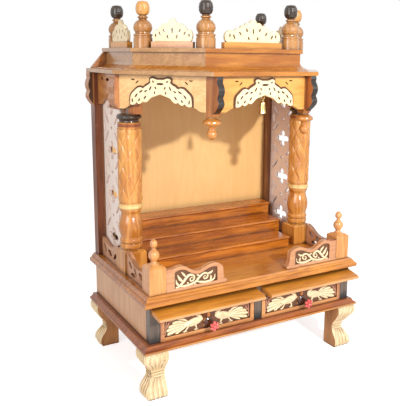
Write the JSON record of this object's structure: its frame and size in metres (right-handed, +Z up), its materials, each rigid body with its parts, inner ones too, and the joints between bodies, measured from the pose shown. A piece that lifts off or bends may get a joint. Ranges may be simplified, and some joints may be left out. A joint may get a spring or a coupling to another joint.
{
  "type": "home shrine",
  "caption": "Wooden home shrine with scrolled legs, pull-out drawers, a stepped floor, pierced side screens and a pillared canopy with arches, finials and a hanging bell.",
  "frame": {"origin": "on the floor, under the middle of the whole shrine's bounding box", "axes": "+Z up, +X to the right of someone who faces the shrine, -Y out of its front"},
  "size_m": [0.606, 0.4204, 0.883],
  "materials": {
    "gold_wood": "polished golden-brown wood",
    "pink_wood": "polished pinkish-tan wood",
    "red_wood": "polished dark red-brown wood",
    "brown_wood": "polished brown wood",
    "drawer_wood": "polished wood",
    "plain_wood": "plain wood",
    "burnt_wood": "wood with a burnt grey-black shade",
    "carved_leg": "carved wood, cream on the outer faces",
    "cream_paint": "wood painted cream",
    "black_paint": "wood with its edge painted black",
    "screen_paint": "wood painted pinkish white",
    "plywood": "pale plywood, satin",
    "knob_red": "red gloss",
    "brass": "bright brass"
  },
  "bodies": {
    "shrine": {"leg_front_left": "carved_leg", "leg_front_right": "carved_leg", "leg_back_left": "carved_leg", "leg_back_right": "carved_leg", "plinth_board": "red_wood", "case_sides": "pink_wood", "case_back": "pink_wood", "case_divider": "pink_wood", "front_stiles": "burnt_wood", "top_board": "gold_wood", "step_lower": "gold_wood", "step_middle": "gold_wood", "step_upper": "gold_wood", "newel_left": "gold_wood", "newel_right": "gold_wood", "front_rail_left": "pink_wood", "front_rail_right": "pink_wood", "side_rails": "screen_paint", "pillar_left": "gold_wood", "pillar_right": "gold_wood", "back_posts": "brown_wood", "back_panel": "plywood", "jali_left": "screen_paint", "jali_right": "screen_paint", "canopy_posts": "brown_wood", "arch_front": "gold_wood", "arch_left": "gold_wood", "arch_right": "gold_wood", "arch_trims": "cream_paint", "side_valances": "brown_wood", "bay_brackets": "black_paint", "side_brackets": "red_wood", "pendants": "gold_wood", "canopy_slab": "gold_wood", "cornice": "gold_wood", "roof_board": "gold_wood", "roof_back_board": "brown_wood", "finials": "gold_wood", "crest_blocks": "gold_wood", "crests": "cream_paint", "bell_hook": "brass"},
    "drawer_left": {"drawer_left_front": "drawer_wood", "drawer_left_box": "plain_wood", "drawer_left_knob": "knob_red"},
    "drawer_right": {"drawer_right_front": "drawer_wood", "drawer_right_box": "plain_wood", "drawer_right_knob": "knob_red"},
    "bell": {"bell": "brass"}
  },
  "joints": [
    {"name": "drawer_left_slide", "type": "slide", "parent": "shrine", "child": "drawer_left", "axis": [0, -1, 0], "range_m": [0, 0.24]},
    {"name": "drawer_right_slide", "type": "slide", "parent": "shrine", "child": "drawer_right", "axis": [0, -1, 0], "range_m": [0, 0.24]},
    {"name": "bell_swing", "type": "hinge", "parent": "shrine", "child": "bell", "pos_m": [0, -0.16385, 0.668], "axis": [1, 0, 0], "range_deg": [-25, 25]}
  ]
}
